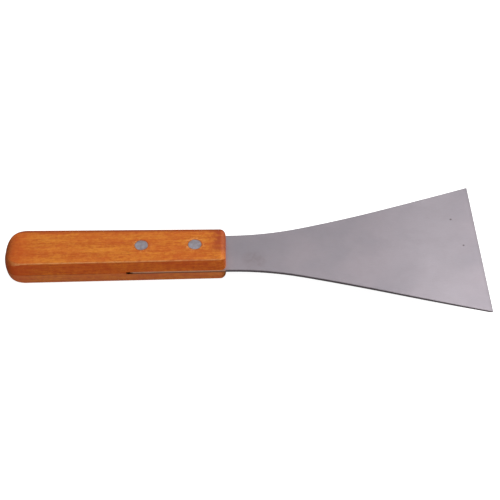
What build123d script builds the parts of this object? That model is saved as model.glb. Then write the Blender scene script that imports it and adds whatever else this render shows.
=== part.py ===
from build123d import *
import math
import os

# Bench scraper: a broad steel blade whose tang sits in the sawn slot of a one-piece wooden
# handle, held by two two-piece compression rivets.
# Millimetres. +X runs towards the working edge, +Z is up, and the origin lies under the
# middle of the whole tool, on the plane the handle rests on.

# Handle
HANDLE_L = 132.0        # butt to front
HANDLE_T = 17.1         # flat face to flat face
BUTT_FACE_W = 27.8      # width of the flat faces at the butt
BUTT_RIDGE_W = 30.6     # width across the side ridges at the butt
FRONT_FACE_W = 24.9     # width of the flat faces at the front
FRONT_RIDGE_W = 28.55   # width across the side ridges at the front
BUTT_ROUND_L = 11.6     # the butt draws in over this length
BUTT_FLAT_L = 0.15      # the rounding stops this far short of its tip, at a small flat
BUTT_PLAN_POWER = 2.65  # squareness of the butt seen from above: 2 is an ellipse
BUTT_SIDE_POWER = 3.3   # squareness of the butt seen from the side
BUTT_SOFT_R = 4.8       # the long edges' rounding grows to this at the butt
FRONT_CORNER_L = 3.4    # front corners seen from above
FRONT_EDGE_L = 2.7      # rounding over the front, seen from the side
LONG_EDGE_R = 0.8       # rounding along the long edges of the flat faces
PLANED_OFF = 0.012      # planed off each flat face once the block is rounded
MOST_OF_HALF = 0.85     # no rounding takes more than this share of a section's half height
STATIONS = 9            # cross-sections through each rounded end
SLOT_L = 59.2           # sawn slot, from the handle's front

# Blade
REACH = 152.4           # handle's front to working edge
EDGE_W = 101.6          # working edge, corner to corner
BLADE_T = 1.6           # tang and neck
EDGE_T = 1.1            # just behind the working edge's bevel
BEVEL_L = 1.8           # bevel ground on the lower face, along the working edge
BEVEL_T = 0.6           # thickness left at the very edge
FLAT_L = 50.0           # flat and full thickness this far ahead of the handle
RISE = 2.15             # upward spring of the working edge above the tang's plane
FLARE_AT = 24.4         # the neck turns outwards this far ahead of the handle
FLARE_CURVE = 22.2      # half length of that turn's curve
KNEE_AT = 71.8          # the sides turn out a little more this far ahead of the handle
KNEE_W = 51.9           # width across the corners of that second turn
KNEE_CURVE = 24.4       # half length of that turn's curve
TANG_CORNER_R = 5.0     # rear corners of the tang
TANG_INSET = 0.2        # tang and neck stand this far inside the handle's ridges, each side
TANG_GAP = 0.2          # between the tang's rear end and the slot's end

# Rivets
RIVET_FRONT = 18.3      # front rivet, back from the handle's front
RIVET_PITCH = 31.95     # front rivet to rear rivet
HEAD_D = 7.9            # both heads, flush with the wood
HEAD_T = 1.2
TUBE_D = 4.8            # socket half's tube
POST_D = 3.2            # pin half's post, pressed into the tube
TUBE_SHORT = 4.8        # the tube stops this far from the opposite face
POST_SHORT = 5.3        # the post stops this far from the opposite face
SOCKET_FLOOR = 2.5      # metal left between the socket's floor and its head's face
POST_CHAMFER = 0.4
HOLE_PLAY = 0.05        # radial play around heads and tubes

# Places that follow from the sizes above
LENGTH = HANDLE_L + REACH
X_BUTT = -LENGTH / 2
X_FRONT = X_BUTT + HANDLE_L
X_EDGE = LENGTH / 2
Z_MID = HANDLE_T / 2
TANG_L = SLOT_L - TANG_GAP
NECK_W = FRONT_RIDGE_W - 2 * TANG_INSET
RIVET_XS = {"front": X_FRONT - RIVET_FRONT, "rear": X_FRONT - RIVET_FRONT - RIVET_PITCH}


def rounded(depth, length, power):
    """Share of full size at a depth behind a rounded end that draws in over the given length."""
    return (1 - max(1 - depth / length, 0) ** power) ** (1 / power)


def handle_section(x, wide, high, edge_r):
    """Six-sided cross-section at x: its width and height as shares of full size, edges rounded."""
    along = (x - X_BUTT) / HANDLE_L
    face_half = wide * (BUTT_FACE_W + (FRONT_FACE_W - BUTT_FACE_W) * along) / 2
    ridge_half = wide * (BUTT_RIDGE_W + (FRONT_RIDGE_W - BUTT_RIDGE_W) * along) / 2
    top = high * (HANDLE_T / 2 + PLANED_OFF)
    right = [(face_half, -top), (ridge_half, 0), (face_half, top)]
    left = [(-y, z) for y, z in reversed(right)]
    face = make_face(Polyline(*right, *left, close=True))
    corners = face.vertices().filter_by(lambda v: abs(v.Y) > top / 2)
    face = fillet(corners, min(edge_r, MOST_OF_HALF * top))
    return Plane(origin=(x, 0, Z_MID), x_dir=(0, 1, 0), z_dir=(1, 0, 0)) * face


def butt_section(angle):
    """Cross-section of the butt's rounding, from its small flat to full size at a right angle."""
    depth = BUTT_ROUND_L * (1 - math.cos(angle))
    wide = rounded(depth, BUTT_ROUND_L, BUTT_PLAN_POWER)
    high = rounded(depth, BUTT_ROUND_L, BUTT_SIDE_POWER)
    edge_r = BUTT_SOFT_R + (LONG_EDGE_R - BUTT_SOFT_R) * depth / BUTT_ROUND_L
    return handle_section(X_BUTT + depth - BUTT_FLAT_L, wide, high, edge_r)


def front_section(angle):
    """Cross-section of the front's rounding, from the front face to full size at a right angle."""
    depth = FRONT_CORNER_L * (1 - math.cos(angle))
    drawn_in = FRONT_CORNER_L * (1 - math.sin(angle))
    wide = 1 - 2 * drawn_in / FRONT_RIDGE_W
    lowered = FRONT_EDGE_L * (1 - math.sin(angle))
    high = 1 - 2 * lowered / HANDLE_T
    return handle_section(X_FRONT - depth, wide, high, LONG_EDGE_R)


def handle_block():
    """The wooden block: a tapered six-sided middle, a rounded butt and front, flat faces planed."""
    first = math.acos(1 - BUTT_FLAT_L / BUTT_ROUND_L)
    right_angle = math.pi / 2
    steps = [step / (STATIONS - 1) for step in range(STATIONS)]
    butt = loft([butt_section(first + (right_angle - first) * step) for step in steps])
    front = loft([front_section(right_angle * (1 - step)) for step in steps])
    middle = loft([butt_section(right_angle), front_section(right_angle)], ruled=True)
    planed = Pos((X_BUTT + X_FRONT) / 2, 0, Z_MID) * Box(2 * HANDLE_L, 2 * BUTT_RIDGE_W, HANDLE_T)
    return (butt + middle + front) & planed


def handle():
    """Wooden handle with the blade's slot and the stepped rivet holes."""
    body = handle_block()
    slot = Box(SLOT_L + 10, BUTT_RIDGE_W + 10, BLADE_T)
    body -= Pos(X_FRONT - SLOT_L + (SLOT_L + 10) / 2, 0, Z_MID) * slot
    for x in RIVET_XS.values():
        body -= Pos(x, 0, Z_MID) * Cylinder(TUBE_D / 2 + HOLE_PLAY, HANDLE_T + 2)
        for z in (0, HANDLE_T):
            body -= Pos(x, 0, z) * Cylinder(HEAD_D / 2 + HOLE_PLAY, 2 * HEAD_T)
    return body


def turn_radius(before, corner, after, half_length):
    """Radius that rounds a corner over the given length on each side of it."""
    first = math.atan2(corner[1] - before[1], corner[0] - before[0])
    second = math.atan2(after[1] - corner[1], after[0] - corner[0])
    return half_length / math.tan(abs(second - first) / 2)


def blade_side(side):
    """Corner points of one long side of the blade, from the tang's rear to the edge."""
    slope = (BUTT_RIDGE_W - FRONT_RIDGE_W) / HANDLE_L
    rear_half = (FRONT_RIDGE_W + slope * TANG_L) / 2 - TANG_INSET
    return [
        (X_FRONT - TANG_L, side * rear_half),
        (X_FRONT, side * NECK_W / 2),
        (X_FRONT + FLARE_AT, side * NECK_W / 2),
        (X_FRONT + KNEE_AT, side * KNEE_W / 2),
        (X_EDGE, side * EDGE_W / 2),
    ]


def blade_outline():
    """Plan of the blade: tang, neck, and the two gentle turns out to the working edge."""
    right = blade_side(-1)
    left = blade_side(1)
    face = make_face(Polyline(*right, *reversed(left), close=True))
    flare_r = turn_radius(left[1], left[2], left[3], FLARE_CURVE)
    knee_r = turn_radius(left[2], left[3], left[4], KNEE_CURVE)
    for place, radius in ((0, TANG_CORNER_R), (2, flare_r), (3, knee_r)):
        x = left[place][0]
        picked = face.vertices().filter_by(lambda v: abs(v.X - x) < 0.01)
        face = fillet(picked, radius)
    return face


def blade_profile():
    """Side view: flat tang and neck, then ground thinner while springing slightly upwards."""
    x_rear = X_FRONT - TANG_L
    x_flat = X_FRONT + FLAT_L
    z_edge = Z_MID + RISE
    top_bend = (x_flat, Z_MID + BLADE_T / 2)
    low_bend = (x_flat, Z_MID - BLADE_T / 2)
    top_end = (X_EDGE, z_edge + EDGE_T / 2)
    tip = (X_EDGE, top_end[1] - BEVEL_T)
    top = TangentArc(top_bend, top_end, tangent=(1, 0))
    low = TangentArc(low_bend, (X_EDGE, z_edge - EDGE_T / 2), tangent=(1, 0))
    low = low.trim(0, 1 - BEVEL_L / low.length)
    lines = [
        Line((x_rear, top_bend[1]), top_bend),
        top,
        Line(top_end, tip),
        Line(tip, low @ 1),
        low,
        Line(low_bend, (x_rear, low_bend[1])),
        Line((x_rear, low_bend[1]), (x_rear, top_bend[1])),
    ]
    return make_face(Curve() + lines)


def blade():
    """Steel blade and tang in one piece, with its two rivet holes."""
    plan = Pos(0, 0, -HANDLE_T) * extrude(blade_outline(), 3 * HANDLE_T)
    profile = extrude(Plane.XZ * blade_profile(), EDGE_W, both=True)
    body = plan & profile
    for x in RIVET_XS.values():
        body -= Pos(x, 0, Z_MID) * Cylinder(TUBE_D / 2 + HOLE_PLAY, HANDLE_T)
    return body


def rivet_tube(x):
    """Socket half of a rivet: a head flush with the top face and a tube bored from below."""
    up = (Align.CENTER, Align.CENTER, Align.MIN)
    tube = Pos(x, 0, TUBE_SHORT) * Cylinder(TUBE_D / 2, HANDLE_T - TUBE_SHORT, align=up)
    head = Pos(x, 0, HANDLE_T - HEAD_T) * Cylinder(HEAD_D / 2, HEAD_T, align=up)
    depth = HANDLE_T - TUBE_SHORT - SOCKET_FLOOR
    return tube + head - Pos(x, 0, TUBE_SHORT) * Cylinder(POST_D / 2, depth, align=up)


def rivet_post(x):
    """Pin half of a rivet: a head flush with the underside and a post up into the tube."""
    up = (Align.CENTER, Align.CENTER, Align.MIN)
    post = Cylinder(POST_D / 2, HANDLE_T - POST_SHORT, align=up)
    post = chamfer(post.edges().sort_by(Axis.Z)[-1], POST_CHAMFER)
    head = Cylinder(HEAD_D / 2, HEAD_T, align=up)
    return Pos(x, 0, 0) * (post + head)


os.makedirs("parts", exist_ok=True)
export_step(handle(), "parts/handle.step")
export_step(blade(), "parts/blade.step")
for place, x in RIVET_XS.items():
    export_step(rivet_tube(x), f"parts/{place}_rivet_tube.step")
    export_step(rivet_post(x), f"parts/{place}_rivet_post.step")
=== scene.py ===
import math

import bpy
from mathutils import Matrix, Vector


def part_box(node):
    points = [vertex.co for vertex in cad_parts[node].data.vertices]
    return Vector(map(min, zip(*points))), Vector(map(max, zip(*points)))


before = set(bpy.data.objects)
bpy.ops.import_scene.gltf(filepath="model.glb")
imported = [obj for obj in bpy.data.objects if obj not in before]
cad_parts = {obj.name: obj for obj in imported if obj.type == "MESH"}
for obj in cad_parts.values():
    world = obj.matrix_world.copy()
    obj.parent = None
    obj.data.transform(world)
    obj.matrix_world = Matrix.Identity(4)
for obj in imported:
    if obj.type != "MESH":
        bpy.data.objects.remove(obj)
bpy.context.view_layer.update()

# Places read from the frame, in metres
MM = 0.001
HANDLE_LOW, HANDLE_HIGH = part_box("handle")
BLADE_LOW, BLADE_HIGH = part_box("blade")
BUTT_X, FRONT_X = HANDLE_LOW[0], HANDLE_HIGH[0]
EDGE_X = BLADE_HIGH[0]
TOP_Z = HANDLE_HIGH[2]
MID_Z = TOP_Z / 2

# From here on lengths are in millimetres. Materials measure x ahead of the handle's front, y across
# from the middle and z above the tang's middle
HANDLE_MM = (FRONT_X - BUTT_X) / MM
REACH_MM = (EDGE_X - FRONT_X) / MM
SLOT_MM = (FRONT_X - BLADE_LOW[0]) / MM    # the tang fills the slot but for a small gap behind it
SLOT_HALF = 0.8          # half the slot's height
FLAT_HALF = 12.45        # half the flat top's width at the front
FLAT_TAPER = 0.011       # how much that half width grows for each millimetre back


# ---------------------------------------------------------------- node helpers

def add(tree, kind, inputs=None, **settings):
    """A node with its settings made and its inputs either linked or set."""
    node = tree.nodes.new(kind)
    for key, value in settings.items():
        setattr(node, key, value)
    for key, value in (inputs or {}).items():
        if isinstance(value, bpy.types.NodeSocket):
            tree.links.new(value, node.inputs[key])
        else:
            node.inputs[key].default_value = value
    return node


def maths(tree, operation, first, second=0.0, third=0.0):
    """One Math node's result."""
    return add(tree, "ShaderNodeMath", {0: first, 1: second, 2: third}, operation=operation).outputs[0]


def times(tree, first, second):
    """Two values multiplied."""
    return maths(tree, "MULTIPLY", first, second)


def times_add(tree, first, second, third):
    """Two values multiplied, and a third added."""
    return maths(tree, "MULTIPLY_ADD", first, second, third)


def less(tree, first, second):
    """The first value less the second."""
    return maths(tree, "SUBTRACT", first, second)


def remap(tree, value, low, high, out_low=0.0, out_high=1.0):
    """A value eased from one range into another."""
    node = add(
        tree,
        "ShaderNodeMapRange",
        {"Value": value, "From Min": low, "From Max": high, "To Min": out_low, "To Max": out_high},
        interpolation_type="SMOOTHSTEP",
    )
    return node.outputs["Result"]


def remap_straight(tree, value, low, high):
    """A value taken in a straight line from one range to nought and one, and held there."""
    node = add(tree, "ShaderNodeMapRange", {"Value": value, "From Min": low, "From Max": high})
    return node.outputs["Result"]


def blend(tree, factor, first, second, mode="MIX"):
    """Two colours mixed."""
    node = add(tree, "ShaderNodeMix", {0: factor, 6: first, 7: second}, data_type="RGBA", blend_type=mode)
    return node.outputs[2]


def paint(tree, colour, tint, mask, strength):
    """A tint laid over a colour where the mask says, at most to the given strength."""
    return blend(tree, times(tree, mask, strength), colour, tint)


def noise(tree, place, stretch, detail, roughness, distortion=0.0):
    """Noise over millimetres, with so many waves to the millimetre along each axis."""
    scaled = add(tree, "ShaderNodeVectorMath", {0: place, 1: stretch}, operation="MULTIPLY")
    settings = {"Scale": 1.0, "Detail": detail, "Roughness": roughness, "Distortion": distortion}
    node = add(tree, "ShaderNodeTexNoise", {"Vector": scaled.outputs[0], **settings})
    return node.outputs["Fac"]


def measured(tree):
    """Where a point is, in millimetres from the handle's front and the tang's middle: whole, and x, y, z."""
    coords = add(tree, "ShaderNodeTexCoord").outputs["Object"]
    moved = add(tree, "ShaderNodeVectorMath", {0: coords, 1: (FRONT_X, 0, MID_Z)}, operation="SUBTRACT")
    to_mm = (1 / MM, 1 / MM, 1 / MM)
    scaled = add(tree, "ShaderNodeVectorMath", {0: moved.outputs[0], 1: to_mm}, operation="MULTIPLY")
    place = scaled.outputs[0]
    return place, add(tree, "ShaderNodeSeparateXYZ", {0: place}).outputs


def facing(tree):
    """Which way the surface faces, as x, y and z."""
    turned = add(tree, "ShaderNodeTexCoord").outputs["Normal"]
    return add(tree, "ShaderNodeSeparateXYZ", {0: turned}).outputs


def distance(tree, x, y, centre_x, centre_y):
    """Distance in a plane from a centre."""
    along = less(tree, x, centre_x)
    across = less(tree, y, centre_y)
    return maths(tree, "SQRT", times_add(tree, along, along, times(tree, across, across)))


def roughen(tree, shader, height, strength, depth_mm):
    """Fine relief on a shader."""
    bump = add(tree, "ShaderNodeBump", {"Height": height, "Strength": strength, "Distance": depth_mm * MM})
    tree.links.new(bump.outputs[0], shader.inputs["Normal"])


def rgb(red, green, blue):
    """Display colour from 0 to 255 as linear light."""
    return tuple(((c / 255 + 0.055) / 1.055) ** 2.4 for c in (red, green, blue)) + (1.0,)


def material(name):
    """An empty material with its Principled shader wired to the output."""
    made = bpy.data.materials.new(name)
    made.use_nodes = True
    tree = made.node_tree
    tree.nodes.clear()
    shader = add(tree, "ShaderNodeBsdfPrincipled")
    add(tree, "ShaderNodeOutputMaterial", {"Surface": shader.outputs[0]})
    return made, tree, shader


# ---------------------------------------------------------------- shared effects

def effect(name, inputs, outputs):
    """An empty node group with the given inputs and outputs. Returns the group and its two ends."""
    group = bpy.data.node_groups.new(name, "ShaderNodeTree")
    for label, (kind, value) in inputs.items():
        made = group.interface.new_socket(name=label, in_out="INPUT", socket_type=kind)
        if value is not None:
            made.default_value = value
    for label, kind in outputs.items():
        group.interface.new_socket(name=label, in_out="OUTPUT", socket_type=kind)
    return group, group.nodes.new("NodeGroupInput").outputs, group.nodes.new("NodeGroupOutput").inputs


def use(tree, group, **inputs):
    """A placed node group's one output, with its inputs linked or set."""
    return add(tree, "ShaderNodeGroup", inputs, node_tree=group).outputs[0]


FLOAT, VECTOR = "NodeSocketFloat", "NodeSocketVector"
# Noise by its detail, roughness and, for clouds, distortion
LINE_NOISE = (3, 0.6)
CLOUD_NOISE = (4, 0.55, 0.3)
DRIFT_NOISE = (3, 0.5)
MOTTLE_NOISE = (4, 0.65)
PATCH_CUT = (0.32, 0.68)            # noise outside this range is bare or full patch
WEAR_HIGHLIGHT_RISE, WEAR_HIGHLIGHT_FALL = 0.15, 0.12   # how softly the worn edge with its painted highlight begins and ends
WEAR_HIGHLIGHT_WAVES = (0.25, 0.6, 0.6)       # waves to the millimetre in the breaks along a worn edge with its painted highlight
WEAR_HIGHLIGHT_CUT = (0.35, 0.62)


def fibre_effect():
    """Fine lines along X: noise stretched by Length, with Fineness waves to the millimetre across."""
    group, given, result = effect(
        "lengthwise_lines",
        {"Place": (VECTOR, None), "Fineness": (FLOAT, 4.0), "Length": (FLOAT, 60.0)},
        {"Lines": FLOAT},
    )
    along = maths(group, "DIVIDE", given["Fineness"], given["Length"])
    waves = add(group, "ShaderNodeCombineXYZ", {0: along, 1: given["Fineness"], 2: given["Fineness"]})
    lines = noise(group, given["Place"], waves.outputs[0], *LINE_NOISE)
    group.links.new(lines, result["Lines"])
    return group


def cloud_effect():
    """Soft uneven patches of about Size millimetres, from nought to one."""
    group, given, result = effect(
        "soft_patches",
        {"Place": (VECTOR, None), "Size": (FLOAT, 20.0), "Stretch": (FLOAT, 1.0)},
        {"Patches": FLOAT},
    )
    across = maths(group, "DIVIDE", 1.0, given["Size"])
    along = maths(group, "DIVIDE", across, given["Stretch"])
    waves = add(group, "ShaderNodeCombineXYZ", {0: along, 1: across, 2: across})
    patches = noise(group, given["Place"], waves.outputs[0], *CLOUD_NOISE)
    group.links.new(remap(group, patches, *PATCH_CUT), result["Patches"])
    return group


def wear_highlight_effect():
    """One where the surface turns from a flat face over a rounded edge, broken up by patches."""
    group, given, result = effect(
        "edge_wear_and_highlight",
        {"Place": (VECTOR, None), "Start": (FLOAT, 0.35), "End": (FLOAT, 0.97), "Patchiness": (FLOAT, 0.5)},
        {"Wear": FLOAT},
    )
    steep = maths(group, "ABSOLUTE", facing(group)[2])
    rising = remap(group, steep, given["Start"], maths(group, "ADD", given["Start"], WEAR_HIGHLIGHT_RISE))
    falling = remap(group, steep, less(group, given["End"], WEAR_HIGHLIGHT_FALL), given["End"], 1, 0)
    kept = remap(group, noise(group, given["Place"], WEAR_HIGHLIGHT_WAVES, *LINE_NOISE), *WEAR_HIGHLIGHT_CUT)
    spread = times_add(group, kept, given["Patchiness"], less(group, 1.0, given["Patchiness"]))
    group.links.new(times(group, times(group, rising, falling), spread), result["Wear"])
    return group


FIBRES, CLOUDS, WEAR_HIGHLIGHT = fibre_effect(), cloud_effect(), wear_highlight_effect()


def around_rivets(tree, x, y, inner, outer):
    """One near a rivet's head and nought further out, in millimetres from the rivet's axis."""
    near = 0.0
    for name in ("front_rivet_tube", "rear_rivet_tube"):
        low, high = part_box(name)
        axis_x = ((low[0] + high[0]) / 2 - FRONT_X) / MM
        ring = remap(tree, distance(tree, x, y, axis_x, 0.0), inner, outer, 1, 0)
        near = maths(tree, "MAXIMUM", near, ring)
    return near


# ---------------------------------------------------------------- wood

WOOD_PALE = rgb(217, 134, 42)
WOOD_DEEP = rgb(184, 88, 18)
WOOD_LATE = rgb(150, 62, 12)
WOOD_RED = rgb(188, 74, 18)
# Pores and joints, and painted shade lines along the side ridge and the far edge
WOOD_PORE_AND_SHADE = rgb(96, 36, 12)
WOOD_SOAKED = rgb(150, 56, 26)
# Pale wood for light fibres, paler patches round the rivets and worn edges, and the painted highlight along
# the near edges
WOOD_PALE_AND_HIGHLIGHT = rgb(236, 166, 104)
# Painted shade in the slot
WOOD_SLOT_SHADE = rgb(52, 20, 10)
# Paler, greyer colour laid over the lower side
WOOD_GREYED = rgb(184, 132, 104)
# Painted shade, multiplied into the sides and ends
SIDE_SHADE_TINT = (0.94, 0.67, 0.27, 1.0)
UNDER_TINT = (1.26, 1.48, 1.30, 1.0)
# Darker end grain and painted shade, multiplied into the ends
END_GRAIN_SHADE_TINT = (0.68, 0.76, 0.60, 1.0)

RING_SPACING = 3.1       # growth rings apart
PITH = (-46.0, -70.0)    # the tree's centre, across and below the tang
RING_DRIFT = 9.0         # how far the rings wander along the handle
DRIFT_WAVES = (0.012, 0.10, 0.10)
LATE_WOOD = (0.45, 0.92)      # share of a ring over which late wood darkens
RING_END = (0.94, 1.0)        # and where it ends

# Waves to the millimetre across the grain, and how many times longer than wide the lines are
WOOD_LINES = {
    "bands": (0.30, 14.0),
    "streaks": (1.0, 9.0),
    "fibres": (3.2, 8.0),
    "flecks": (1.7, 3.2),
}
WOOD_PATCH, WOOD_PATCH_STRETCH = 9.0, 2.0
MOTTLE_WAVES = (0.40, 0.40, 0.40)
TONE_SHARES = {"mottle": 0.38, "bands": 0.26, "streaks": 0.36}

# Ranges of two give where a mask starts and is full. Ranges of four add what it gives at each end
TONE_RANGE = (0.36, 0.66)
PORE_CUT = (0.60, 0.72)
DARK_FIBRE_CUT = (0.48, 0.72)
LIGHT_FIBRE_CUT = (0.30, 0.46)
SOAKED_STREAKS = (0.30, 0.55, 0.45, 1.0)
RIDGE_SHADE_BREAKS = (0.40, 0.55)
PALE_RING_CUT = (0.50, 0.62)

# How strongly each effect shows on the wood
SHOW = {
    "rings": 0.16,
    "dark fibres": 0.42,
    "light fibres": 0.22,
    "patches": 0.34,
    "pores": 0.42,
    "soaked": 0.80,
    "redder": 0.55,
    "greyer under": 0.22,
    "ridge": 0.30,
    "far edge shade": 0.62,
    "wear_and_highlight": 0.62,
    "pale rings": 0.5,
    "rivet line": 0.5,
    "sawn": 0.92,
}

# How far the surface is turned one way, one being fully, where each effect begins and ends
SIDE_TURN = (0.25, 0.80)      # up or down: a side below the first, a flat above the second
UNDER_TURN = (-0.12, 0.0)     # up: the lower side below the first
END_TURN = (0.15, 0.90)       # along the handle: an end above the second
TOP_TURN = (0.2, 0.5)         # up: the top above the second
END_WEAR_HIGHLIGHT = (0.12, 0.60, 1.0, 0.05)     # along the handle: the wear and painted highlight all but stop on the ends
FAR_WEAR_HIGHLIGHT = (-0.25, 0.1, 1.0, 0.0)      # across, away from the near side: neither wear nor painted highlight on the far side

SOAKED_FROM = (-7.5, -3.0)    # across: the varnish soaked in on the far side of this
SOAKED_END = (8.0, 15.5)      # and fades out over this stretch behind the front
SOAKED_WANDER = 9.0
BUTT_RED = (24.0, 3.0)        # the butt reddens between these distances from its tip
FAR_RED = (8.5, 14.0)         # and the far side of the top between these, across
FAR_EDGE_SHADE = (0.5, 3.0)         # painted shade line along the far edge of the top
RIDGE_SHADE_MM = (0.1, 0.7)         # painted shade line along the side ridge, up and down from it
SLOT_WALL = (0.01, 0.05)      # the painted slot shade ends this far outside the slot's walls
SLOT_END = (-0.3, 0.1)        # and begins this far from the tang's rear

WEAR_HIGHLIGHT_FROM, WEAR_HIGHLIGHT_TO, WEAR_HIGHLIGHT_BREAKS = 0.22, 0.995, 0.6
PALE_RING = (4.0, 7.0)       # paler wood around each rivet, from its axis
RIVET_LINE = (3.95, 4.6)      # dirt in the joint round each rivet's head

# Gloss of the varnish
FIBRE_DULL = (0.3, 0.7, 0.40, 0.52)
PATCH_DULL, END_DULL = 0.10, 0.25
END_DULL_TURN = (0.1, 0.5)
WEAR_COAT = (0.0, 1.0, 0.16, 0.05)
FLAT_COAT = (0.3, 0.98, 0.25, 1)
END_COAT = (0.1, 0.7, 1, 0.2)
COAT_ROUGHNESS = 0.16
WOOD_SPECULAR = 0.22
PORE_DEPTH, FIBRE_HEIGHT, RING_DEPTH = -0.9, 0.5, -0.25
WOOD_RELIEF, WOOD_RELIEF_MM = 0.35, 0.05


def growth_rings(tree, place, y, z):
    """Distance from the tree's centre, wandering along the grain, cut into early and late wood."""
    drift = noise(tree, place, DRIFT_WAVES, *DRIFT_NOISE)
    radius = times_add(tree, drift, RING_DRIFT, distance(tree, y, z, *PITH))
    turn = maths(tree, "FRACT", maths(tree, "DIVIDE", radius, RING_SPACING))
    late = remap(tree, turn, *LATE_WOOD)
    return times(tree, late, remap(tree, turn, *RING_END, 1, 0))


def wood_figure(tree, place, y, z):
    """The masks that make up the wood's figure, by name."""
    figure = {}
    for name, (fineness, length) in WOOD_LINES.items():
        figure[name] = use(tree, FIBRES, Place=place, Fineness=fineness, Length=length)
    figure["pores"] = remap(tree, figure["flecks"], *PORE_CUT)
    figure["patches"] = use(tree, CLOUDS, Place=place, Size=WOOD_PATCH, Stretch=WOOD_PATCH_STRETCH)
    figure["mottle"] = noise(tree, place, MOTTLE_WAVES, *MOTTLE_NOISE)
    figure["rings"] = growth_rings(tree, place, y, z)
    return figure


def grain_colour(tree, figure):
    """Pale and deep wood by tone, then rings, fibres, redder patches and pores."""
    tone = times(tree, figure["streaks"], TONE_SHARES["streaks"])
    tone = times_add(tree, figure["bands"], TONE_SHARES["bands"], tone)
    tone = times_add(tree, figure["mottle"], TONE_SHARES["mottle"], tone)
    colour = blend(tree, remap(tree, tone, *TONE_RANGE), WOOD_DEEP, WOOD_PALE)
    colour = paint(tree, colour, WOOD_LATE, figure["rings"], SHOW["rings"])
    dark = remap(tree, figure["fibres"], *DARK_FIBRE_CUT)
    colour = paint(tree, colour, WOOD_LATE, dark, SHOW["dark fibres"])
    light = remap(tree, figure["fibres"], *LIGHT_FIBRE_CUT, 1, 0)
    colour = paint(tree, colour, WOOD_PALE_AND_HIGHLIGHT, light, SHOW["light fibres"])
    colour = paint(tree, colour, WOOD_RED, figure["patches"], SHOW["patches"])
    return paint(tree, colour, WOOD_PORE_AND_SHADE, figure["pores"], SHOW["pores"])


def reddened(tree, colour, figure, from_front, y):
    """A soaked red-brown patch at the front's far side, and a redder butt and far side."""
    wandering = times_add(tree, figure["mottle"], SOAKED_WANDER, from_front)
    soaked = times(tree, remap(tree, wandering, *SOAKED_END, 1, 0), remap(tree, y, *SOAKED_FROM))
    soaked = times(tree, soaked, remap(tree, figure["streaks"], *SOAKED_STREAKS))
    colour = paint(tree, colour, WOOD_SOAKED, soaked, SHOW["soaked"])
    butt = remap(tree, from_front, HANDLE_MM - BUTT_RED[0], HANDLE_MM - BUTT_RED[1])
    redder = maths(tree, "MAXIMUM", butt, remap(tree, y, *FAR_RED))
    return paint(tree, colour, WOOD_RED, redder, SHOW["redder"])


def side_colours(tree, colour, figure, turned, z):
    """Painted shade deepening the sides and ends, darker end grain and more painted shade on the ends, a
    paler and greyer lower side, and a broken painted shade line along the side ridge.
    """
    side = remap(tree, maths(tree, "ABSOLUTE", turned[2]), *SIDE_TURN, 1, 0)
    # Painted shade: the sides and ends tinted deeper and redder
    colour = blend(tree, side, colour, SIDE_SHADE_TINT, "MULTIPLY")
    # A paler, greyer lower side
    under = times(tree, side, remap(tree, turned[2], *UNDER_TURN, 1, 0))
    colour = blend(tree, under, colour, UNDER_TINT, "MULTIPLY")
    colour = paint(tree, colour, WOOD_GREYED, under, SHOW["greyer under"])
    on_end = maths(tree, "ABSOLUTE", turned[0])
    # Darker end grain, and painted shade, on the ends
    colour = blend(tree, remap(tree, on_end, *END_TURN), colour, END_GRAIN_SHADE_TINT, "MULTIPLY")
    # Painted shade: a broken dark line along the side ridge
    ridge = times(tree, side, remap(tree, maths(tree, "ABSOLUTE", z), *RIDGE_SHADE_MM, 1, 0))
    ridge = times(tree, ridge, remap(tree, figure["bands"], *RIDGE_SHADE_BREAKS))
    return paint(tree, colour, WOOD_PORE_AND_SHADE, ridge, SHOW["ridge"])


def far_edge_shade(tree, colour, turned, from_front, y):
    """Painted shade: a dark line along the far edge of the flat top."""
    flat_half = times_add(tree, from_front, FLAT_TAPER, FLAT_HALF)
    near_edge = remap(tree, less(tree, flat_half, y), *FAR_EDGE_SHADE, 1, 0)
    on_top = remap(tree, maths(tree, "ABSOLUTE", turned[2]), *TOP_TURN)
    return paint(tree, colour, WOOD_PORE_AND_SHADE, times(tree, near_edge, on_top), SHOW["far edge shade"])


def wood_wear_and_highlight(tree, place, turned):
    """Wear and a painted highlight along the edges, faint on the ends and absent on the far side."""
    wear_and_highlight = use(tree, WEAR_HIGHLIGHT, Place=place, Start=WEAR_HIGHLIGHT_FROM, End=WEAR_HIGHLIGHT_TO, Patchiness=WEAR_HIGHLIGHT_BREAKS)
    wear_and_highlight = times(tree, wear_and_highlight, remap(tree, maths(tree, "ABSOLUTE", turned[0]), *END_WEAR_HIGHLIGHT))
    return times(tree, wear_and_highlight, remap(tree, turned[1], *FAR_WEAR_HIGHLIGHT))


def sawn_slot(tree, from_front, z):
    """One on the slot's walls and end, where shade is painted."""
    level = maths(tree, "ABSOLUTE", z)
    within = remap(tree, level, SLOT_HALF + SLOT_WALL[0], SLOT_HALF + SLOT_WALL[1], 1, 0)
    ahead = remap(tree, from_front, SLOT_MM + SLOT_END[0], SLOT_MM + SLOT_END[1], 1, 0)
    return times(tree, within, ahead)


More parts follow.
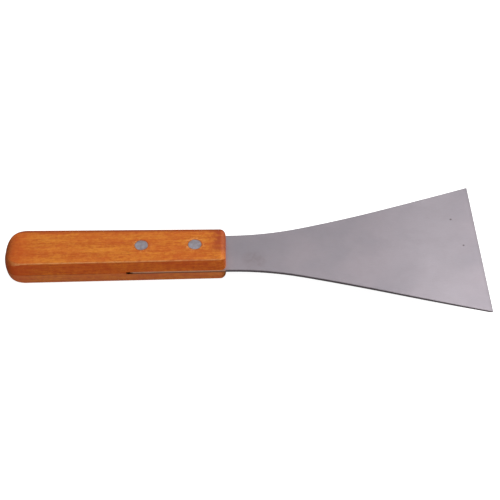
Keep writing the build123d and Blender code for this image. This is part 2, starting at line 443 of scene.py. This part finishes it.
def wood_gloss(tree, shader, figure, wear_and_highlight, turned):
    """Varnish that is thin on edges and sides, duller on the ends, with pores and rings in relief."""
    on_end = maths(tree, "ABSOLUTE", turned[0])
    dull = times_add(tree, figure["patches"], PATCH_DULL, remap(tree, figure["fibres"], *FIBRE_DULL))
    dull = times_add(tree, remap(tree, on_end, *END_DULL_TURN), END_DULL, dull)
    tree.links.new(dull, shader.inputs["Roughness"])
    on_flat = remap(tree, maths(tree, "ABSOLUTE", turned[2]), *FLAT_COAT)
    varnish = times(tree, remap(tree, wear_and_highlight, *WEAR_COAT), on_flat)
    varnish = times(tree, varnish, remap(tree, on_end, *END_COAT))
    tree.links.new(varnish, shader.inputs["Coat Weight"])
    relief = times_add(tree, figure["pores"], PORE_DEPTH, times(tree, figure["fibres"], FIBRE_HEIGHT))
    relief = times_add(tree, figure["rings"], RING_DEPTH, relief)
    roughen(tree, shader, relief, WOOD_RELIEF, WOOD_RELIEF_MM)


def wood():
    """Orange-brown varnished hardwood with straight grain and short pores, its sides and ends redder by
    painted shade, the ends also by darker end grain.
    """
    made, tree, shader = material("varnished_wood")
    place, (x, y, z) = measured(tree)
    turned = facing(tree)
    from_front = times(tree, x, -1.0)
    figure = wood_figure(tree, place, y, z)

    colour = grain_colour(tree, figure)
    colour = reddened(tree, colour, figure, from_front, y)
    colour = side_colours(tree, colour, figure, turned, z)
    colour = far_edge_shade(tree, colour, turned, from_front, y)
    wear_and_highlight = wood_wear_and_highlight(tree, place, turned)
    # Painted highlight and worn varnish: paler wood along the near edges
    colour = paint(tree, colour, WOOD_PALE_AND_HIGHLIGHT, wear_and_highlight, SHOW["wear_and_highlight"])
    # Paler wood in patches around each rivet
    paler = remap(tree, figure["mottle"], *PALE_RING_CUT)
    paler = times(tree, around_rivets(tree, x, y, *PALE_RING), paler)
    colour = paint(tree, colour, WOOD_PALE_AND_HIGHLIGHT, paler, SHOW["pale rings"])
    colour = paint(tree, colour, WOOD_PORE_AND_SHADE, around_rivets(tree, x, y, *RIVET_LINE), SHOW["rivet line"])
    # Painted shade on the slot's walls and end
    colour = paint(tree, colour, WOOD_SLOT_SHADE, sawn_slot(tree, from_front, z), SHOW["sawn"])
    tree.links.new(colour, shader.inputs["Base Color"])

    wood_gloss(tree, shader, figure, wear_and_highlight, turned)
    shader.inputs["Specular IOR Level"].default_value = WOOD_SPECULAR
    shader.inputs["Coat Roughness"].default_value = COAT_ROUGHNESS
    return made


# ---------------------------------------------------------------- blade

STEEL_COOL = (0.580, 0.530, 0.585, 1.0)
STEEL_WARM = (0.605, 0.540, 0.590, 1.0)
# Painted reflection, a lighter band along the blade
STEEL_PAINTED_SHEEN = (0.640, 0.582, 0.636, 1.0)
STEEL_DARK = (0.36, 0.325, 0.355, 1.0)
# Sheared steel, and painted shade on the blade's edges and rim
STEEL_SHEARED_AND_SHADE = (0.17, 0.145, 0.155, 1.0)
STEEL_STAIN = (0.40, 0.32, 0.34, 1.0)
STEEL_SPECK = (0.16, 0.12, 0.13, 1.0)
# Painted highlight along the top of the tang's edge, then varnish film with painted shade below it
TANG_HIGHLIGHT = (0.80, 0.45, 0.28, 1.0)
TANG_FILM_AND_SHADE = (0.25, 0.09, 0.04, 1.0)

# Half the neck's width, then each turn of the blade's sides: start, end and the slope after it
NECK_HALF = 14.08
BLADE_TURNS = ((2.2, 46.6, 0.2505), (47.4, 96.2, 0.3083))
RIM_MM = (0.10, 0.75)          # sheared rim and painted edge shade along the blade's outline
GROUND_MM = (1.2, 2.2)         # ground strip behind the working edge
SHEEN_FROM = (85, 125)         # painted reflection: the sheet is made a little lighter from here
SHEEN_TO = (130, 150)          # to here, ahead of the handle

# Lines on the steel: waves to the millimetre across, and how many times longer than wide
POLISH_LINES = (5.0, 30.0)
STEEL_SCRATCHES = (9.0, 90.0)
CLOUD_MM, CLOUD_STRETCH = 24.0, 1.2
GRIME_MM = 4.0
LINES_CUT, LINES_SHOW = (0.40, 0.72), 0.12
GRIME_CUT, GRIME_SHOW = (0.2, 1.0), 0.05
RIM_GRIME, RIM_SHOW = (0.0, 1.0, 0.55, 1.0), 0.55
GROUND_SHOW = 0.14
EDGE_TURN = (0.3, 0.8)         # upwards or down: a sheared edge below the first
TANG_STARTS = (-0.4, 0.0)      # ahead of the handle's front: tang below the first
TANG_HIGHLIGHT_HEIGHT = (0.0, 0.5)      # height above the tang's middle over which the painted highlight comes in
TANG_HIGHLIGHT_BREAKS = (0.34, 0.56, 0.45, 1.0)
FILM_OVER_METAL = 0.85
SATIN = (0.3, 0.7, 0.37, 0.42)
CLOUD_DULL, EDGE_DULL = 0.02, 0.12
SCRATCH_HEIGHT, LINE_HEIGHT = 0.5, 0.5
STEEL_RELIEF, STEEL_RELIEF_MM = 0.12, 0.01

# Marks on the top face: centre ahead and across, reach, strength and colour. Marks wider than a
# speck are broken up by grime
SPECK_MM = 2.0
SPOT_CORE = 0.25          # share of a mark's reach that keeps its full strength
SPOT_GRIME = (0.1, 0.9, 0.45, 1.0)
STAINS = (
    ((17.2, -6.0), 9.5, 0.38, STEEL_STAIN),
    ((138.6, 23.6), 1.0, 0.8, STEEL_SPECK),
    ((143.3, 1.5), 0.9, 0.8, STEEL_SPECK),
)


def blade_half_width(tree, along):
    """Half the blade's width at a distance ahead of the handle: two smooth turns, both parabolas."""
    half = NECK_HALF
    before = 0.0
    for start, end, slope in BLADE_TURNS:
        turned = remap_straight(tree, along, start, end)
        rise = (slope - before) * (end - start) / 2
        curve = times(tree, times(tree, turned, turned), rise)
        beyond = maths(tree, "MAXIMUM", less(tree, along, end), 0.0)
        grown = times_add(tree, beyond, slope - before, curve)
        half = maths(tree, "ADD", grown, half)
        before = slope
    return half


def stained(tree, colour, x, y, on_top, grime):
    """The marks, each fading outwards from its centre."""
    for (mark_x, mark_y), reach, strength, tint in STAINS:
        away = distance(tree, x, y, mark_x, mark_y)
        spot = remap(tree, away, reach * SPOT_CORE, reach, strength, 0)
        if reach > SPECK_MM:
            spot = times(tree, spot, remap(tree, grime, *SPOT_GRIME))
        colour = blend(tree, times(tree, spot, on_top), colour, tint)
    return colour


def rimmed(tree, colour, x, y, grime):
    """A dark rim all round the outline, sheared steel and painted shade, and a ground strip behind the
    working edge.
    """
    inwards = less(tree, blade_half_width(tree, x), maths(tree, "ABSOLUTE", y))
    from_tip = less(tree, REACH_MM, x)
    rim = remap(tree, maths(tree, "MINIMUM", inwards, from_tip), *RIM_MM, 1, 0)
    rim = times(tree, rim, remap(tree, grime, *RIM_GRIME))
    # Painted shade along the rim, over sheared steel
    colour = paint(tree, colour, STEEL_SHEARED_AND_SHADE, rim, RIM_SHOW)
    return paint(tree, colour, STEEL_DARK, remap(tree, from_tip, *GROUND_MM, 1, 0), GROUND_SHOW)


def tang_film_and_painted_light(tree, colour, z, on_edge, film_and_shade, lines):
    """Dark edges of sheared steel with painted shade, and varnish over the tang's edge: a painted highlight
    along its top, painted shade below.
    """
    top_highlight = times(tree, remap(tree, z, *TANG_HIGHLIGHT_HEIGHT), remap(tree, lines, *TANG_HIGHLIGHT_BREAKS))
    # Painted shade on the blade's edges, over sheared steel
    colour = blend(tree, on_edge, colour, STEEL_SHEARED_AND_SHADE)
    # Varnish film with painted shade, then a painted highlight along its top
    colour = blend(tree, film_and_shade, colour, TANG_FILM_AND_SHADE)
    return blend(tree, times(tree, film_and_shade, top_highlight), colour, TANG_HIGHLIGHT)


def steel():
    """Satin stainless sheet: faint lengthwise polish lines, clouded patches, a few stains."""
    made, tree, shader = material("satin_steel")
    place, (x, y, z) = measured(tree)
    turned = facing(tree)
    lines = use(tree, FIBRES, Place=place, Fineness=POLISH_LINES[0], Length=POLISH_LINES[1])
    scratches = use(tree, FIBRES, Place=place, Fineness=STEEL_SCRATCHES[0], Length=STEEL_SCRATCHES[1])
    clouds = use(tree, CLOUDS, Place=place, Size=CLOUD_MM, Stretch=CLOUD_STRETCH)
    grime = use(tree, CLOUDS, Place=place, Size=GRIME_MM, Stretch=1.0)

    colour = blend(tree, clouds, STEEL_COOL, STEEL_WARM)
    # Painted reflection: a lighter band ahead of the handle
    painted_sheen = times(tree, remap(tree, x, *SHEEN_FROM), remap(tree, x, *SHEEN_TO, 1, 0))
    colour = blend(tree, painted_sheen, colour, STEEL_PAINTED_SHEEN)
    colour = paint(tree, colour, STEEL_DARK, remap(tree, lines, *LINES_CUT), LINES_SHOW)
    colour = paint(tree, colour, STEEL_STAIN, remap(tree, grime, *GRIME_CUT), GRIME_SHOW)
    colour = stained(tree, colour, x, y, remap(tree, turned[2], *TOP_TURN), grime)
    colour = rimmed(tree, colour, x, y, grime)

    on_edge = remap(tree, maths(tree, "ABSOLUTE", turned[2]), *EDGE_TURN, 1, 0)
    film_and_shade = times(tree, on_edge, remap(tree, x, *TANG_STARTS, 1, 0))
    colour = tang_film_and_painted_light(tree, colour, z, on_edge, film_and_shade, lines)
    tree.links.new(colour, shader.inputs["Base Color"])
    tree.links.new(less(tree, 1.0, times(tree, film_and_shade, FILM_OVER_METAL)), shader.inputs["Metallic"])
    satin = times_add(tree, clouds, CLOUD_DULL, remap(tree, lines, *SATIN))
    tree.links.new(times_add(tree, on_edge, EDGE_DULL, satin), shader.inputs["Roughness"])
    relief = times_add(tree, scratches, SCRATCH_HEIGHT, times(tree, lines, LINE_HEIGHT))
    roughen(tree, shader, relief, STEEL_RELIEF, STEEL_RELIEF_MM)
    return made


# ---------------------------------------------------------------- rivets

RIVET_LIGHT = (0.55, 0.53, 0.60, 1.0)
RIVET_DARK = (0.43, 0.375, 0.40, 1.0)
RIVET_RIM = (0.22, 0.18, 0.19, 1.0)
VARNISH_OVER_METAL = rgb(176, 92, 34)
RIVET_SCRATCHES = (6.0, 12.0)
RIVET_PATCH = 2.6
RIVET_RIM_RING = (3.2, 3.95)    # the rim darkens between these distances from the axis
CREPT_RING = (3.5, 3.8)         # varnish has crept in as far as this
CREPT_WAVES = (0.35, 0.35, 0.35)
CREPT_CUT, CREPT_SHOW = (0.44, 0.54), 0.7
RIVET_LINES_CUT, RIVET_LINES_SHOW = (0.45, 0.75), 0.3
RIVET_RIM_SHOW = 0.45
RIVET_DULL = (0.3, 0.7, 0.42, 0.55)
RIVET_RELIEF, RIVET_RELIEF_MM = 0.3, 0.02


def rivet_metal():
    """Dull aluminium, ground flush with the wood: short scratches, a dark rim, varnish crept over it."""
    made, tree, shader = material("ground_aluminium")
    place, (x, y, _) = measured(tree)
    scratches = use(tree, FIBRES, Place=place, Fineness=RIVET_SCRATCHES[0], Length=RIVET_SCRATCHES[1])
    patches = use(tree, CLOUDS, Place=place, Size=RIVET_PATCH, Stretch=1.0)

    colour = blend(tree, patches, RIVET_DARK, RIVET_LIGHT)
    colour = paint(tree, colour, RIVET_DARK, remap(tree, scratches, *RIVET_LINES_CUT), RIVET_LINES_SHOW)
    rim = less(tree, 1.0, around_rivets(tree, x, y, *RIVET_RIM_RING))
    colour = paint(tree, colour, RIVET_RIM, rim, RIVET_RIM_SHOW)
    crept = less(tree, 1.0, around_rivets(tree, x, y, *CREPT_RING))
    crept = times(tree, crept, remap(tree, noise(tree, place, CREPT_WAVES, *LINE_NOISE), *CREPT_CUT))
    crept = times(tree, crept, CREPT_SHOW)
    colour = blend(tree, crept, colour, VARNISH_OVER_METAL)
    tree.links.new(colour, shader.inputs["Base Color"])
    tree.links.new(less(tree, 1.0, crept), shader.inputs["Metallic"])
    tree.links.new(remap(tree, scratches, *RIVET_DULL), shader.inputs["Roughness"])
    roughen(tree, shader, scratches, RIVET_RELIEF, RIVET_RELIEF_MM)
    return made


def dress(name, made):
    """Puts one material on a whole CAD node."""
    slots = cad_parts[name].data.materials
    slots.clear()
    slots.append(made)


dress("handle", wood())
dress("blade", steel())
rivets = rivet_metal()
for node in ("front_rivet_tube", "front_rivet_post", "rear_rivet_tube", "rear_rivet_post"):
    dress(node, rivets)


# ---------------------------------------------------------------- stage, in metres

FLOOR_HALF = 4.0
FLOOR_GAP = 0.05 * MM     # keeps the floor clear of the handle's underside
FLOOR_ROUGHNESS = 0.9
FLOOR_BOUNCE = 0.45       # what the floor sends back to the tool
FLOOR_GLOW = 0.90         # what it adds for the camera, to read as white
SURROUND = 0.26           # light of the pale surround. The camera sees it as white

# Soft lights, all aimed at the middle of the tool: place, width and height, power in watts
SOFTBOXES = {
    "top_softbox": ((0, 0.1, 1.3), (0.9, 0.9), 3),
    "right_softbox": ((1.3, 0.75, 0.9), (0.9, 0.9), 36),
    "front_softbox": ((0, -1.5, 0.6), (1.2, 0.8), 9),
}

# The camera's view: degrees, metres and millimetres of lens
AZIMUTH, ELEVATION, ROLL = -0.477, 47.112, -0.562
DISTANCE, LENS, SENSOR = 0.6594, 78.57, 36
TARGET = (FRONT_X + 14.59 * MM, 2.64 * MM, MID_Z)
CLIP_NEAR, CLIP_FAR = 0.01, 50


def stage_floor():
    """A wide pale floor under the handle, lit evenly so that it reads as a clean sweep."""
    mesh = bpy.data.meshes.new("floor")
    signs = ((-1, -1), (1, -1), (1, 1), (-1, 1))
    mesh.from_pydata([(x * FLOOR_HALF, y * FLOOR_HALF, -FLOOR_GAP) for x, y in signs], [], [(0, 1, 2, 3)])
    floor = bpy.data.objects.new("floor", mesh)
    bpy.context.scene.collection.objects.link(floor)
    made, tree, shader = material("pale_floor")
    shader.inputs["Base Color"].default_value = (FLOOR_BOUNCE, FLOOR_BOUNCE, FLOOR_BOUNCE, 1)
    shader.inputs["Roughness"].default_value = FLOOR_ROUGHNESS
    shader.inputs["Specular IOR Level"].default_value = 0.0
    shader.inputs["Emission Color"].default_value = (1, 1, 1, 1)
    seen = add(tree, "ShaderNodeLightPath").outputs["Is Camera Ray"]
    tree.links.new(times(tree, seen, FLOOR_GLOW), shader.inputs["Emission Strength"])
    mesh.materials.append(made)


def softbox(name, place, size, power):
    """A soft rectangular light aimed at the middle of the tool."""
    data = bpy.data.lights.new(name, "AREA")
    data.shape = "RECTANGLE"
    data.size, data.size_y = size
    data.energy = power
    lamp = bpy.data.objects.new(name, data)
    lamp.location = place
    lamp.rotation_mode = "QUATERNION"
    lamp.rotation_quaternion = (-Vector(place)).to_track_quat("-Z", "Y")
    bpy.context.scene.collection.objects.link(lamp)


def lights():
    """An even pale surround, with soft lights above, to the right and behind, and in front."""
    world = bpy.data.worlds.new("studio")
    world.use_nodes = True
    tree = world.node_tree
    sky = tree.nodes["Background"]
    sky.inputs["Color"].default_value = (1, 1, 1, 1)
    seen = add(tree, "ShaderNodeLightPath").outputs["Is Camera Ray"]
    tree.links.new(times_add(tree, seen, 1.0 - SURROUND, SURROUND), sky.inputs["Strength"])
    bpy.context.scene.world = world
    for name, (place, size, power) in SOFTBOXES.items():
        softbox(name, place, size, power)


def camera():
    """The view from the near side, about halfway up."""
    azimuth, elevation, roll = map(math.radians, (AZIMUTH, ELEVATION, ROLL))
    level = math.cos(elevation)
    back = Vector((math.sin(azimuth) * level, -math.cos(azimuth) * level, math.sin(elevation)))
    right = Vector((math.cos(azimuth), math.sin(azimuth), 0))
    up = back.cross(right)
    across = math.cos(roll) * right + math.sin(roll) * up
    upward = -math.sin(roll) * right + math.cos(roll) * up
    data = bpy.data.cameras.new("camera")
    data.lens = LENS
    data.sensor_width = SENSOR
    data.clip_start, data.clip_end = CLIP_NEAR, CLIP_FAR
    cam = bpy.data.objects.new("camera", data)
    turn = Matrix((across, upward, back)).transposed().to_4x4()
    cam.matrix_world = Matrix.Translation(Vector(TARGET) + back * DISTANCE) @ turn
    bpy.context.scene.collection.objects.link(cam)
    bpy.context.scene.camera = cam


stage_floor()
lights()
camera()
bpy.context.scene.view_settings.view_transform = "Standard"
